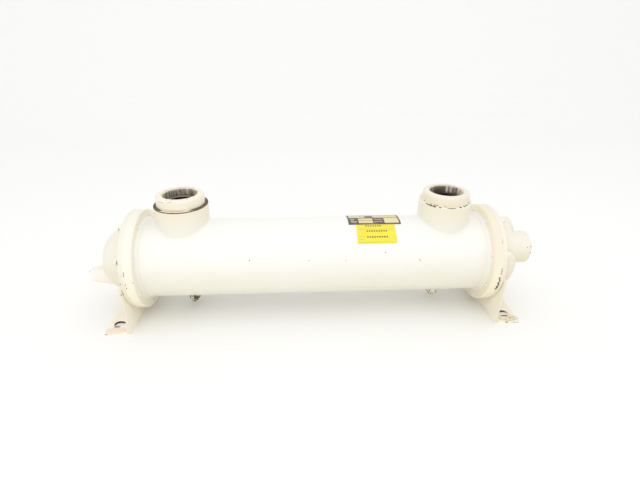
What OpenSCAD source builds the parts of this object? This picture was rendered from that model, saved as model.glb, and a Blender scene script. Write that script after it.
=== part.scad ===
// Shell and tube heat exchanger, two pass, horizontal, on two foot brackets.
// Millimetres, +Z up, real size. +X runs along the shell to the end with the two tube side ports.
// The feet rest on z = 0, and x = 0, y = 0 is below the middle of the shell.

/* [Shell] */
// Outside diameter of the shell tube
shell_od = 203.2; // [190:0.1:216]
// Wall of the shell tube
shell_wall = 5; // [4:0.1:6.5]
// Length of the shell tube
shell_length = 886; // [780:2:1000]

/* [Flanges] */
// Length of shell that sits inside each hub flange
hub_grip = 7; // [4:0.5:12]
// Distance from the shell's outside to the bolt circle
bolt_inset = 13.9; // [12:0.1:18]
// Distance from the bolt circle to the rim of the flanges
rim_w = 13.5; // [10:0.5:18]
// Chamfer on the outer edges of the flanges
flange_chamfer = 2; // [0.5:0.5:4]
// Leg of the weld between the shell and each hub flange
hub_weld = 8; // [4:0.5:9]
// Thickness of the flange of each bonnet
bonnet_flange_t = 11.4; // [8:0.1:18]
// Thickness of the gaskets
gasket_t = 1.6; // [1:0.1:3]
// How far the edge of the gaskets lies inside the rim of the flanges
gasket_inset = 0.6; // [0.2:0.1:2]
// Number of bolts in each flange pair
bolt_count = 8; // [8]
// Diameter of the bolt holes
bolt_hole_d = 11; // [9:0.5:12]

/* [Tube bundle] */
// Thickness of the tube sheets
sheet_t = 13; // [9:0.5:20]
// Outside diameter of the tubes
tube_od = 15.88; // [12:0.01:17]
// Wall of the tubes
tube_wall = 1.24; // [0.8:0.01:2]
// Gap between neighbouring tubes
tube_gap = 4.72; // [3:0.01:6]
// Room kept free between the outermost tubes and the edge of the baffles
bundle_margin = 4.5; // [3:0.5:8]
// Thickness of the baffles
baffle_t = 3; // [2:0.5:5]
// Distance from a nozzle's axis to the nearest baffle
baffle_nozzle_gap = 85.4; // [70:0.1:120]
// Number of baffles
baffle_count = 6; // [4:2:6]
// Rows of tubes, counted from the axis, that each baffle carries on its cut side
baffle_rows = 3; // [2, 3]
// Diameter of the tie rods
rod_d = 8; // [6:0.5:8.5]
// Wall of the spacer sleeves on the tie rods
sleeve_wall = 2.2; // [1.5:0.1:2.3]
// Distance of the tie rods from the edge of the baffles
rod_inset = 9; // [8.5:0.1:9.2]

/* [Right bonnet] */
// How far the outside of the right bonnet's body lies inside the outside of the shell
right_step = 3.6; // [0:0.1:8]
// Distance from the flange's outer face to the end of the right bonnet's body
right_depth = 51; // [44:1:70]
// Radius of the rounded outer edge of the right bonnet's body
right_corner_r = 32; // [20:1:38]
// Wall of the right bonnet's body
right_wall = 7; // [5:0.5:7]
// Thickness of the wall that splits the right bonnet into inlet and outlet
partition_t = 8; // [5:0.5:12]

/* [Left bonnet] */
// How far the left bonnet's body, at its flange, lies inside the outside of the shell
left_step = 9.2; // [7:0.1:13]
// Distance from the flange's outer face to the end of the left bonnet's body
left_depth = 72; // [62:1:82]
// Radius of the rounded outer edge of the left bonnet's body
left_corner_r = 52; // [44:1:58]
// Angle by which the side of the left bonnet's body narrows toward its end
left_draft = 21; // [12:0.5:24]
// Wall of the left bonnet's body
left_wall = 6; // [5:0.1:8]

/* [Tube side ports] */
// Radius of the two port bores, as tapped for 2 inch taper pipe thread
port_bore_r = 27.8; // [20:0.1:30]
// Wall of the port bosses round their bores
port_wall = 13.4; // [8:0.1:14]
// How far the side of a port boss stands out past the bonnet body
port_bulge = 3.1; // [0:0.1:6]
// Angle of the ports above the level through the shell's axis
port_angle = 37.5; // [20:0.5:40]
// Distance from the bonnet body's end to the port faces
port_stand = 27; // [15:1:40]
// Radius of the bore of the small boss, as tapped for three quarter inch taper pipe thread
vent_bore_r = 11.9; // [8:0.1:13]
// Wall of the small boss round its bore, at its end
vent_wall = 6.6; // [5:0.1:9]
// Angle by which the side of the small boss widens toward the bonnet
vent_draft = 9; // [3:0.5:12]
// Distance of the small boss toward the front from the middle plane
vent_y = 36; // [20:1:42]
// Distance of the small boss below the shell's axis
vent_drop = 26; // [10:1:32]
// Distance from the bonnet body's end to the face of the small boss
vent_stand = 36; // [20:1:55]
// Chamfer on the ends of the ports and of the small boss
port_chamfer = 3; // [1:0.5:4]

/* [Shell side nozzles] */
// Distance from the shell's end to each nozzle's axis
nozzle_inset = 107.6; // [95:0.1:140]
// Height of the nozzle bosses over the top of the shell
boss_h = 52.1; // [45:0.1:65]
// Wall of the nozzle bosses round the bushings
boss_wall = 15.7; // [10:0.1:18]
// Chamfer on the upper edge of the nozzle bosses
boss_chamfer = 1.5; // [0.5:0.5:3]
// Radius of the bushing's bore, as tapped for 3 inch taper pipe thread
nozzle_bore_r = 41.4; // [34:0.1:43]
// Depth of the thread below the bushing's mouth
thread_depth = 24.5; // [18:0.5:30]
// How much narrower the bushing's bore is below the thread, all round
bore_step = 3; // [1:0.5:5]
// Wall of the bushing's spigot round its bore
spigot_wall = 8.6; // [6:0.1:12]
// Length of the spigot
spigot_l = 40; // [25:1:42]
// Wall of the bushing's collar round its bore
collar_wall = 17; // [12:0.1:22]
// Height of the collar over the boss
collar_h = 24.6; // [15:0.1:35]
// Radius of the collar's rounded upper edge
collar_round = 6; // [2:0.5:10]
// How much wider than the bore the opening in the shell is, all round
throat_step = 1.6; // [0.5:0.1:4]

/* [Drains] */
// Radius of the drain bore, as tapped for half inch taper pipe thread
drain_bore_r = 9.2; // [6:0.1:10]
// Wall of the drain bosses round their bores
drain_wall = 5.1; // [3:0.1:8]
// Distance the drain bosses stand below the shell
drain_stand = 25; // [14:0.5:28]
// Width of the square head of a drain plug
plug_head_w = 14.3; // [10:0.1:18]
// Height of the square head of a drain plug
plug_head_h = 11; // [7:0.5:12]
// Length of a drain plug inside its boss
plug_l = 14; // [8:0.5:18]

/* [Foot brackets] */
// Height of the flanges over the floor
flange_lift = 18.7; // [15:0.1:60]
// How far a bracket is wider than the flange, at each side
foot_side = 1; // [0:0.5:12]
// Thickness of the bracket's legs
foot_t = 6; // [4:0.5:8]
// How far the top of the upright leg lies below the shell's axis
foot_drop = 17.7; // [8:0.1:30]
// Length of the leg on the floor, from the flange outward
foot_leg = 66; // [58:1:90]
// Radius of the fillet in the bracket's inner corner
foot_root_r = 6; // [3:0.5:10]
// Distance from the end of the leg to the middle of the slots
slot_edge = 26; // [20:0.5:34]
// Distance from a bracket's side to the middle of its slot
slot_inset = 36; // [20:0.5:60]
// Width of the slots
slot_w = 22; // [14:0.5:24]
// Length of the slots, along the shell
slot_l = 28; // [24:0.5:32]

/* [Clearances] */
// Gap all round between parts that slide into each other
fit_gap = 0.1; // [0.05:0.01:0.3]
// Gap round a tube in its hole in a baffle
baffle_hole_gap = 0.3; // [0.2:0.05:0.5]
// Gap between the baffles and the shell
baffle_shell_gap = 1; // [0.5:0.1:2]
// Gap between the foot bracket's arc and the bonnet body
foot_arc_gap = 3; // [1:0.5:5]

/* [Output] */
// The piece that is built, or all of them

/* [Hidden] */
$fn = 96;
cut = 1;
shell_r = shell_od / 2;
shell_in_r = shell_r - shell_wall;
shell_end = shell_length / 2;
sheet_x = shell_end + sheet_t;
hub_in_x = shell_end - hub_grip;
flange_in_x = sheet_x + gasket_t;
flange_out_x = flange_in_x + bonnet_flange_t;
bolt_r = shell_r + bolt_inset;
flange_r = bolt_r + rim_w;
axis_h = flange_r + flange_lift;
gasket_r = flange_r - gasket_inset;
right_r = shell_r - right_step;
right_in_r = right_r - right_wall;
left_r = shell_r - left_step;
left_in_r = left_r - left_wall / cos(left_draft) + bonnet_flange_t * tan(left_draft);
port_r = port_bore_r + port_wall;
port_circle_r = right_r + port_bulge - port_r;
port_y = port_circle_r * cos(port_angle);
port_z = port_circle_r * sin(port_angle);
port_face = flange_out_x + right_depth + port_stand;
vent_r = vent_bore_r + vent_wall;
vent_face = flange_out_x + left_depth + vent_stand;
vent_base_r = vent_r + (vent_face - port_chamfer - flange_out_x) * tan(vent_draft);
nozzle_x = shell_end - nozzle_inset;
boss_top = shell_r + boss_h;
spigot_r = nozzle_bore_r + spigot_wall;
spigot_base = boss_top - spigot_l;
boss_in_r = spigot_r + fit_gap;
boss_r = boss_in_r + boss_wall;
collar_r = nozzle_bore_r + collar_wall;
nozzle_top = boss_top + collar_h;
throat_r = nozzle_bore_r + throat_step;
thread_base = nozzle_top - thread_depth;
drain_base = -shell_r - drain_stand;
drain_r = drain_bore_r + drain_wall;
baffle_r = shell_in_r - baffle_shell_gap;
tube_pitch = tube_od + tube_gap;
tube_rings = floor((baffle_r - bundle_margin - tube_od / 2) / tube_pitch);
baffle_edge = (baffle_rows + 0.5) * tube_pitch * sin(60);
baffle_pitch = 2 * (nozzle_x - baffle_nozzle_gap) / (baffle_count - 1);
sleeve_d = rod_d + 2 * fit_gap + 2 * sleeve_wall;
rod_circle_r = baffle_r - rod_inset;
foot_w = 2 * (flange_r + foot_side);
foot_h = axis_h - foot_drop;
foot_arc_r = right_r + foot_arc_gap;
slot_x = foot_leg - slot_edge;
slot_y = foot_w / 2 - slot_inset;

// Places of the tubes: rings of a triangular grid round the axis
function grid_ring(n) = [
    for (side = [0:5], k = [0:n - 1])
        let (a = 60 * side, b = 60 * side + 120)
        [n * cos(a) + k * cos(b), n * sin(a) + k * sin(b)] * tube_pitch
];
tube_spots = [[0, 0], for (n = [1:tube_rings]) each grid_ring(n)];
rod_angles = [30, 150, 210, 330];
baffle_spots = [
    for (k = [0:baffle_count - 1]) (k - (baffle_count - 1) / 2) * baffle_pitch
];

// Moves drawings along Z to lie along +X, with their first axis up
module along_x(x = 0) {
    translate([x, 0, axis_h]) rotate([0, 90, 0]) children();
}

// A round bar along the shell from one x to another, with a chamfer on its far end if asked
module bar_x(x0, x1, r, chamfer = 0) {
    along_x(x0) bar_z(x1 - x0, r, chamfer);
}

// The same bar, upright
module bar_z(h, r, chamfer = 0) {
    cylinder(h = h - chamfer, r = r);
    if (chamfer > 0)
        translate([0, 0, h - chamfer]) cylinder(h = chamfer, r1 = r, r2 = r - chamfer);
}

// Turns what is drawn for the right end to the left end
module at_end(side) {
    if (side > 0) children();
    else mirror([1, 0, 0]) children();
}

// Holes of the flange bolts, straddling the middle planes
module bolt_holes(x0, x1) {
    for (k = [0:bolt_count - 1])
        along_x(x0)
            rotate([0, 0, (k + 0.5) * 360 / bolt_count])
                translate([bolt_r, 0, 0])
                    cylinder(h = x1 - x0, d = bolt_hole_d, $fn = 32);
}

// Shell tube, open below each nozzle and over each drain
module shell() {
    color("ivory")
        difference() {
            bar_x(-shell_end, shell_end, shell_r);
            bar_x(-shell_end - cut, shell_end + cut, shell_in_r);
            for (side = [-1, 1]) {
                translate([side * nozzle_x, 0, axis_h])
                    cylinder(h = shell_r + cut, r = throat_r);
                translate([side * nozzle_x, 0, 0])
                    cylinder(h = axis_h, r = drain_bore_r, $fn = 48);
            }
        }
}

// Ring on the shell's end that holds the tube sheet and takes the bolts, with its weld to the shell
module hub_flange(side) {
    color("ivory")
        at_end(side)
            difference() {
                along_x() rotate_extrude()
                    polygon([
                        [shell_r + fit_gap, hub_in_x - hub_weld],
                        [shell_r + hub_weld, hub_in_x],
                        [flange_r - flange_chamfer, hub_in_x],
                        [flange_r, hub_in_x + flange_chamfer],
                        [flange_r, sheet_x],
                        [shell_r + fit_gap, sheet_x]
                    ]);
                bolt_holes(hub_in_x - cut, sheet_x + cut);
            }
}

// Disc in the hub flange's bore, with a hole for each tube
module tube_sheet(side) {
    color("darkkhaki")
        at_end(side)
            difference() {
                bar_x(shell_end, sheet_x, shell_r);
                for (p = tube_spots)
                    along_x(shell_end - cut)
                        translate([p[1], p[0], 0])
                            cylinder(h = sheet_t + 2 * cut, r = tube_od / 2 + fit_gap, $fn = 32);
            }
}

// Straight tubes from the face of one tube sheet to the face of the other
module tubes() {
    color("peru")
        for (p = tube_spots)
            along_x(-sheet_x)
                translate([p[1], p[0], 0])
                    difference() {
                        cylinder(h = 2 * sheet_x, d = tube_od, $fn = 32);
                        translate([0, 0, -cut])
                            cylinder(h = 2 * sheet_x + 2 * cut, d = tube_od - 2 * tube_wall, $fn = 32);
                    }
}

// One baffle: a disc with its top or bottom cut off, so that the flow weaves over the tubes
module baffle(x, up) {
    difference() {
        bar_x(x - baffle_t / 2, x + baffle_t / 2, baffle_r);
        translate([
            x - baffle_t,
            -shell_od / 2,
            up > 0 ? axis_h + baffle_edge : axis_h - baffle_edge - shell_od
        ])
            cube([2 * baffle_t, shell_od, shell_od]);
        for (p = tube_spots)
            along_x(x - baffle_t)
                translate([p[1], p[0], 0])
                    cylinder(h = 2 * baffle_t, r = tube_od / 2 + baffle_hole_gap, $fn = 32);
        for (a = rod_angles)
            along_x(x - baffle_t)
                rotate([0, 0, a])
                    translate([0, rod_circle_r, 0])
                        cylinder(h = 2 * baffle_t, r = rod_d / 2 + fit_gap, $fn = 32);
    }
}

module baffles() {
    color("silver")
        for (k = [0:baffle_count - 1])
            baffle(baffle_spots[k], k % 2 == 0 ? 1 : -1);
}

// Tie rods from the left tube sheet to the last baffle, with a spacer sleeve in each space
module tie_rods() {
    last = baffle_spots[baffle_count - 1] + baffle_t / 2;
    stops = concat([-shell_end - baffle_t / 2], baffle_spots);
    color("silver")
        for (a = rod_angles) {
            along_x(-shell_end)
                rotate([0, 0, a])
                    translate([0, rod_circle_r, 0])
                        cylinder(h = last + shell_end + 1.5 * rod_d, d = rod_d, $fn = 32);
            along_x(last)
                rotate([0, 0, a])
                    translate([0, rod_circle_r, 0])
                        difference() {
                            cylinder(h = rod_d, d = sleeve_d, $fn = 6);
                            translate([0, 0, -cut])
                                cylinder(h = rod_d + 2 * cut, d = rod_d + 2 * fit_gap, $fn = 32);
                        }
            for (k = [0:baffle_count - 1])
                along_x(stops[k] + baffle_t / 2)
                    rotate([0, 0, a])
                        translate([0, rod_circle_r, 0])
                            difference() {
                                cylinder(h = stops[k + 1] - stops[k] - baffle_t, d = sleeve_d, $fn = 32);
                                translate([0, 0, -cut])
                                    cylinder(
                                        h = stops[k + 1] - stops[k] + cut,
                                        d = rod_d + 2 * fit_gap,
                                        $fn = 32
                                    );
                            }
        }
}

// Full face gasket between hub flange and bonnet flange
module gasket_left() {
    color("dimgray")
        mirror([1, 0, 0])
            difference() {
                bar_x(sheet_x, flange_in_x, gasket_r);
                bar_x(sheet_x - cut, flange_in_x + cut, left_in_r);
                bolt_holes(sheet_x - cut, flange_in_x + cut);
            }
}

// The right gasket also has a rib that seals the partition
module gasket_right() {
    color("dimgray")
        difference() {
            bar_x(sheet_x, flange_in_x, gasket_r);
            difference() {
                bar_x(sheet_x - cut, flange_in_x + cut, right_in_r);
                translate([sheet_x - 2 * cut, -partition_t / 2, 0])
                    cube([gasket_t + 4 * cut, partition_t, 2 * axis_h]);
            }
            bolt_holes(sheet_x - cut, flange_in_x + cut);
        }
}

// Quarter disc that rounds an edge
module corner_2d(r) {
    intersection() {
        circle(r = r);
        square(r);
    }
}

// Half outline of a bonnet body: a side narrowing by draft, tangent to the rounded edge of the end.
// wall moves all of it inward, and back carries the side on behind the flange's outer face.
module body_2d(r, depth, corner, draft, wall = 0, back = 0) {
    edge_x = depth - corner;
    edge_r = r - (corner + edge_x * sin(draft)) / cos(draft);
    polygon([
        [0, -back],
        [r - wall / cos(draft) + back * tan(draft), -back],
        [edge_r + (corner - wall) * cos(draft), edge_x + (corner - wall) * sin(draft)],
        [edge_r, edge_x],
        [edge_r, depth - wall],
        [0, depth - wall]
    ]);
    translate([edge_r, edge_x]) corner_2d(corner - wall);
}

// Outer form of a bonnet: flange and body, turned round the shell's axis
module bonnet_outer(r, depth, corner, draft) {
    along_x() rotate_extrude() {
        polygon([
            [0, flange_in_x],
            [flange_r, flange_in_x],
            [flange_r, flange_out_x - flange_chamfer],
            [flange_r - flange_chamfer, flange_out_x],
            [0, flange_out_x]
        ]);
        translate([0, flange_out_x]) body_2d(r, depth, corner, draft);
    }
}

// Hollow of a bonnet, one wall inside its outer form
module bonnet_cavity(r, depth, corner, draft, wall) {
    along_x(flange_out_x) rotate_extrude()
        body_2d(r, depth, corner, draft, wall, bonnet_flange_t);
}

// Right bonnet: two ports side by side, and a partition between inlet and outlet
module bonnet_right() {
    color("ivory")
        difference() {
            union() {
                bonnet_outer(right_r, right_depth, right_corner_r, 0);
                for (side = [-1, 1])
                    translate([0, side * port_y, port_z])
                        bar_x(flange_out_x, port_face, port_r, port_chamfer);
            }
            difference() {
                bonnet_cavity(right_r, right_depth, right_corner_r, 0, right_wall);
                translate([flange_in_x, -partition_t / 2, 0])
                    cube([bonnet_flange_t + right_depth, partition_t, 2 * axis_h]);
            }
            for (side = [-1, 1])
                translate([0, side * port_y, port_z])
                    bar_x(flange_in_x, port_face + cut, port_bore_r);
            bolt_holes(flange_in_x - cut, flange_out_x + cut);
        }
}

// Left bonnet: return chamber with one small boss low at the front
module bonnet_left() {
    color("ivory")
        mirror([1, 0, 0])
            difference() {
                union() {
                    bonnet_outer(left_r, left_depth, left_corner_r, left_draft);
                    translate([0, -vent_y, -vent_drop]) {
                        along_x(flange_out_x)
                            cylinder(
                                h = vent_face - port_chamfer - flange_out_x,
                                r1 = vent_base_r,
                                r2 = vent_r
                            );
                        along_x(vent_face - port_chamfer)
                            cylinder(h = port_chamfer, r1 = vent_r, r2 = vent_r - port_chamfer);
                    }
                }
                bonnet_cavity(left_r, left_depth, left_corner_r, left_draft, left_wall);
                translate([0, -vent_y, -vent_drop])
                    bar_x(flange_out_x, vent_face + cut, vent_bore_r);
                bolt_holes(flange_in_x - cut, flange_out_x + cut);
            }
}

// Boss saddled on the shell, bored for the bushing
module nozzle_boss(side) {
    color("ivory")
        difference() {
            translate([side * nozzle_x, 0, axis_h])
                bar_z(boss_top, boss_r, boss_chamfer);
            bar_x(-shell_end, shell_end, shell_r + fit_gap);
            translate([side * nozzle_x, 0, axis_h])
                cylinder(h = boss_top, r = throat_r);
            translate([side * nozzle_x, 0, axis_h + spigot_base])
                cylinder(h = spigot_l + cut, r = boss_in_r);
        }
}

// Bushing: a spigot in the boss, a collar on its top, and a bore that narrows below the thread
module nozzle_bushing(side) {
    color("ivory")
        translate([side * nozzle_x, 0, axis_h])
            difference() {
                union() {
                    translate([0, 0, spigot_base]) cylinder(h = spigot_l, r = spigot_r);
                    translate([0, 0, boss_top]) rotate_extrude() {
                        square([collar_r, collar_h - collar_round]);
                        square([collar_r - collar_round, collar_h]);
                        translate([collar_r - collar_round, collar_h - collar_round])
                            corner_2d(collar_round);
                    }
                }
                translate([0, 0, spigot_base - cut])
                    cylinder(h = spigot_l + collar_h, r = nozzle_bore_r - bore_step);
                translate([0, 0, thread_base])
                    cylinder(h = thread_depth + cut, r = nozzle_bore_r);
            }
}

// Drain boss under the shell
module drain_boss(side) {
    color("dimgray")
        difference() {
            translate([side * nozzle_x, 0, axis_h + drain_base])
                cylinder(h = shell_r + drain_stand - shell_in_r / 2, r = drain_r, $fn = 64);
            bar_x(-shell_end, shell_end, shell_r + fit_gap);
            translate([side * nozzle_x, 0, 0])
                cylinder(h = axis_h, r = drain_bore_r, $fn = 48);
        }
}

// Square head plug in the drain boss
module drain_plug(side) {
    color("dimgray")
        translate([side * nozzle_x, 0, axis_h + drain_base]) {
            translate([-plug_head_w / 2, -plug_head_w / 2, -plug_head_h])
                cube([plug_head_w, plug_head_w, plug_head_h]);
            cylinder(h = plug_l, r = drain_bore_r - fit_gap, $fn = 48);
        }
}

// Steel angle: its long leg upright on the bonnet flange and cut out round the bonnet body, its short leg slotted
module foot_bracket(side) {
    root = foot_t + foot_root_r;
    color("ivory")
        at_end(side)
            difference() {
                translate([flange_out_x, foot_w / 2, 0])
                    rotate([90, 0, 0])
                        linear_extrude(foot_w) {
                            square([foot_t, foot_h]);
                            square([foot_leg, foot_t]);
                            difference() {
                                square(root);
                                translate([root, root]) circle(r = foot_root_r);
                            }
                        }
                bar_x(flange_out_x - cut, flange_out_x + foot_leg, foot_arc_r);
                bolt_holes(flange_out_x - cut, flange_out_x + foot_t + cut);
                for (y = [-slot_y, slot_y])
                    translate([flange_out_x + slot_x, y, -cut]) {
                        for (end = [-1, 1])
                            translate([end * (slot_l - slot_w) / 2, 0, 0])
                                cylinder(h = foot_t + 2 * cut, d = slot_w, $fn = 48);
                        translate([-(slot_l - slot_w) / 2, -slot_w / 2, 0])
                            cube([slot_l - slot_w, slot_w, foot_t + 2 * cut]);
                    }
            }
}

shell();
hub_flange(-1);  // hub_flange_left
hub_flange(1);  // hub_flange_right
tube_sheet(-1);  // tube_sheet_left
tube_sheet(1);  // tube_sheet_right
tubes();
baffles();
tie_rods();
gasket_left();
gasket_right();
bonnet_left();
bonnet_right();
nozzle_boss(-1);  // nozzle_boss_left
nozzle_boss(1);  // nozzle_boss_right
nozzle_bushing(-1);  // nozzle_bushing_left
nozzle_bushing(1);  // nozzle_bushing_right
drain_boss(-1);  // drain_boss_left
drain_boss(1);  // drain_boss_right
drain_plug(-1);  // drain_plug_left
drain_plug(1);  // drain_plug_right
foot_bracket(-1);  // foot_bracket_left
foot_bracket(1);  // foot_bracket_right
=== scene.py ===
"""Two pass shell and tube heat exchanger in ivory enamel: finishes, welds, studs, threads, plates and studio light."""

import math

import bpy
import numpy as np
from mathutils import Matrix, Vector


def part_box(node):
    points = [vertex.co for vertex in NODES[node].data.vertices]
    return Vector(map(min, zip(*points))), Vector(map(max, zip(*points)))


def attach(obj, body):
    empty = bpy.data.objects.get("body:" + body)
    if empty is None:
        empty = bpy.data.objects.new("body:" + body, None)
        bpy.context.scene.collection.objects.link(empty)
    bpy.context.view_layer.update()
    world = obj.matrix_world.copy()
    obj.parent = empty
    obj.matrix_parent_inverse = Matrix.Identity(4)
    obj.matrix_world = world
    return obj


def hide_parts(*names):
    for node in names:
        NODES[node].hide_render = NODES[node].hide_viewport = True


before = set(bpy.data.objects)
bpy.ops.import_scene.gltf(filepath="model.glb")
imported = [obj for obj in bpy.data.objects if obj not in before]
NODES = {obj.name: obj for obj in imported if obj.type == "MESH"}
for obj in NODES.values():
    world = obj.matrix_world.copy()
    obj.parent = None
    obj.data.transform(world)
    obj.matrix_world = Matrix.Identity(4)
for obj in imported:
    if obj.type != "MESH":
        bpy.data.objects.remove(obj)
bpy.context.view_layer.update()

# Shell tube
# The pressure shell is an 8 inch steel pipe, sprayed with thick ivory enamel after assembly. Handling has left a few
# short dark scuffs along its front, where the paint is scored through to the steel.
shell_low, shell_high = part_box("shell")
SHELL_R = (shell_high[1] - shell_low[1]) / 2
AXIS_Z = (shell_high[2] + shell_low[2]) / 2
# The enamel's colour, its yellower patches, and a lighter third tone that is painted light where the surface faces up
SHELL_ENAMEL = ("#EDEADD", "#EBE6D3", "#F6F5F1")
STEEL_DARK = "#241C17"
STEEL_RUST = "#5E4430"
MM = 1000.0  # in a metre


def linear(hex_colour):
    """sRGB hex to a linear colour: low values divided by 12.92, the rest through the 2.4 power curve."""
    parts = [int(hex_colour[k:k + 2], 16) / 255 for k in (1, 3, 5)]
    return [p / 12.92 if p <= 0.04045 else ((p + 0.055) / 1.055) ** 2.4 for p in parts] + [1.0]


def add(tree, kind, settings=(), **inputs):
    """Adds one shader node. Settings go to its properties, inputs to its sockets: a socket is linked, a value is set.
    An input is named as its socket is, with _ for a space, or i0, i1, i2 by its place."""
    node = tree.nodes.new("ShaderNode" + kind)
    for name, value in dict(settings).items():
        setattr(node, name, value)
    for name, value in inputs.items():
        by_place = name[0] == "i" and name[1:].isdigit()
        socket = node.inputs[int(name[1:])] if by_place else node.inputs[name.replace("_", " ")]
        if isinstance(value, bpy.types.NodeSocket):
            tree.links.new(value, socket)
        else:
            socket.default_value = value
    return node


RGBA = {"data_type": "RGBA"}  # a mix of colours
FALLING = {"To_Min": 1.0, "To_Max": 0.0}  # a mask that is 1 below its range and 0 above it


def new_material(name):
    """An empty node material, its tree, and the object coordinates in metres."""
    material = bpy.data.materials.new(name)
    material.use_nodes = True
    tree = material.node_tree
    tree.nodes.clear()
    return material, tree, add(tree, "TexCoord").outputs["Object"]


def finish_material(tree, shader, height, depth_mm):
    """Ends a material: a bump, whose height socket of 0 to 1 stands for depth_mm, and the output."""
    bump = add(tree, "Bump", Strength=1.0, Distance=depth_mm / MM, Height=height)
    tree.links.new(bump.outputs[0], shader.inputs["Normal"])
    add(tree, "OutputMaterial", Surface=shader.outputs[0])


def turned(tree, along, front, aside):
    """Coordinates round an axis: millimetres along it, degrees from the front, and millimetres out from it."""
    far = add(tree, "Math", {"operation": "MULTIPLY"}, i0=along, i1=MM).outputs[0]
    angle = add(tree, "Math", {"operation": "ARCTAN2"}, i0=aside, i1=front).outputs[0]
    angle = add(tree, "Math", {"operation": "DEGREES"}, i0=angle).outputs[0]
    flat = add(tree, "CombineXYZ", i0=front, i1=aside).outputs[0]
    out = add(tree, "VectorMath", {"operation": "LENGTH"}, i0=flat).outputs["Value"]
    out = add(tree, "Math", {"operation": "MULTIPLY"}, i0=out, i1=MM).outputs[0]
    return add(tree, "CombineXYZ", i0=far, i1=angle, i2=out).outputs[0]


def round_shell(tree, place):
    """Coordinates round the shell's axis, with degrees counted upward from the front."""
    xyz = add(tree, "SeparateXYZ", i0=place).outputs
    front = add(tree, "Math", {"operation": "MULTIPLY"}, i0=xyz[1], i1=-1.0).outputs[0]
    rise = add(tree, "Math", {"operation": "SUBTRACT"}, i0=xyz[2], i1=AXIS_Z).outputs[0]
    return turned(tree, xyz[0], front, rise)


def ragged(tree, place, where, size_mm, reach):
    """Coordinates shaken by a noise whose grains are size_mm wide, so that what they bound gets a torn edge."""
    noise = add(tree, "TexNoise", Vector=place, Scale=MM / size_mm, Detail=3.0, Roughness=0.7).outputs[1]
    shift = add(tree, "VectorMath", {"operation": "SUBTRACT"}, i0=noise, i1=(0.5, 0.5, 0.5)).outputs[0]
    shift = add(tree, "VectorMath", {"operation": "MULTIPLY"}, i0=shift, i1=reach).outputs[0]
    return add(tree, "VectorMath", {"operation": "ADD"}, i0=where, i1=shift).outputs[0]


def flaked(tree, where, spots):
    """A mask that is 1 in every spot: an ellipsoid given by its middle and its half widths, in the units of where."""
    nearest = 9.0  # half widths, so outside every spot
    for middle, half in spots:
        spot = add(tree, "Mapping", i0=where, i1=[-m / h for m, h in zip(middle, half)], i3=[1 / h for h in half])
        gap = add(tree, "VectorMath", {"operation": "LENGTH"}, i0=spot.outputs[0]).outputs["Value"]
        nearest = add(tree, "Math", {"operation": "MINIMUM"}, i0=nearest, i1=gap).outputs[0]
    return add(tree, "MapRange", Value=nearest, From_Min=0.85, From_Max=1.0, **FALLING).outputs[0]


def enamel_surface(tree, place, bare, tones, peel_mm=3.0, stains=(), under=None):
    """Thick sprayed enamel: satin gloss with a faint orange peel. tones are its colour, the yellower one of drifting
    patches, and a lighter one that is painted light, mixed in where the surface faces up to stand for the light from
    above. stains are masks with the colours they tint it to: real stains, and on some pieces painted shade. bare is
    the
    mask where it has come off: there dull dark steel, or the colour socket under, lies a film's depth lower."""
    film_mm, satin, matt, patch_mm = 0.3, (0.36, 0.46), 0.85, 500 / 3
    grit_mm = 50 / 13  # real rust is too fine to show, so its grains are drawn this coarse
    drift = add(tree, "TexNoise", Vector=place, Scale=MM / patch_mm, Detail=3.0, Roughness=0.55).outputs[0]
    drift = add(tree, "MapRange", Value=drift, From_Min=0.38, From_Max=0.72).outputs[0]
    paint = add(tree, "Mix", RGBA, Factor=drift, i6=linear(tones[0]), i7=linear(tones[1]))
    # Where the surface faces up the colour turns to the third tone: painted light from above.
    painted_top_light = add(tree, "SeparateXYZ", i0=add(tree, "NewGeometry").outputs["Normal"]).outputs[2]
    painted_top_light = add(tree, "MapRange", {"interpolation_type": "SMOOTHSTEP"}, Value=painted_top_light, From_Min=-0.35,
                   From_Max=0.75).outputs[0]
    paint = add(tree, "Mix", RGBA, Factor=painted_top_light, i6=paint.outputs[2], i7=linear(tones[2]))
    for stain, tint in stains:
        paint = add(tree, "Mix", RGBA, Factor=stain, i6=paint.outputs[2], i7=linear(tint))
    grit = add(tree, "TexNoise", Vector=place, Scale=MM / grit_mm, Detail=5.0, Roughness=0.7).outputs[0]
    if under is None:
        steel = add(tree, "MapRange", Value=grit, From_Min=0.4, From_Max=0.66).outputs[0]
        under = add(tree, "Mix", RGBA, Factor=steel, i6=linear(STEEL_DARK), i7=linear(STEEL_RUST)).outputs[2]
    colour = add(tree, "Mix", RGBA, Factor=bare, i6=paint.outputs[2], i7=under)
    dull = add(tree, "MapRange", Value=drift, To_Min=satin[0], To_Max=satin[1]).outputs[0]
    dull = add(tree, "Mix", Factor=bare, i2=dull, i3=matt).outputs[0]
    peel = add(tree, "TexNoise", Vector=place, Scale=MM / peel_mm, Detail=1.0, Roughness=0.4).outputs[0]
    peel = add(tree, "Math", {"operation": "MULTIPLY_ADD"}, i0=peel, i1=0.14, i2=0.6).outputs[0]
    # Flat waves on the film's own level, and the bare steel nine tenths of the film's depth lower
    height = add(tree, "Mix", Factor=bare, i2=peel, i3=grit).outputs[0]
    height = add(tree, "Math", {"operation": "MULTIPLY_ADD"}, i0=bare, i1=-0.9, i2=height).outputs[0]
    shader = add(tree, "BsdfPrincipled", Base_Color=colour.outputs[2], Roughness=dull, IOR=1.5)
    finish_material(tree, shader, height, film_mm)


def paint_node(node, material):
    """Gives a CAD node its finish."""
    slots = NODES[node].data.materials
    slots.clear()
    slots.append(material)


FREE = 1000.0  # the half width of a spot that isn't bounded that way
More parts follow.
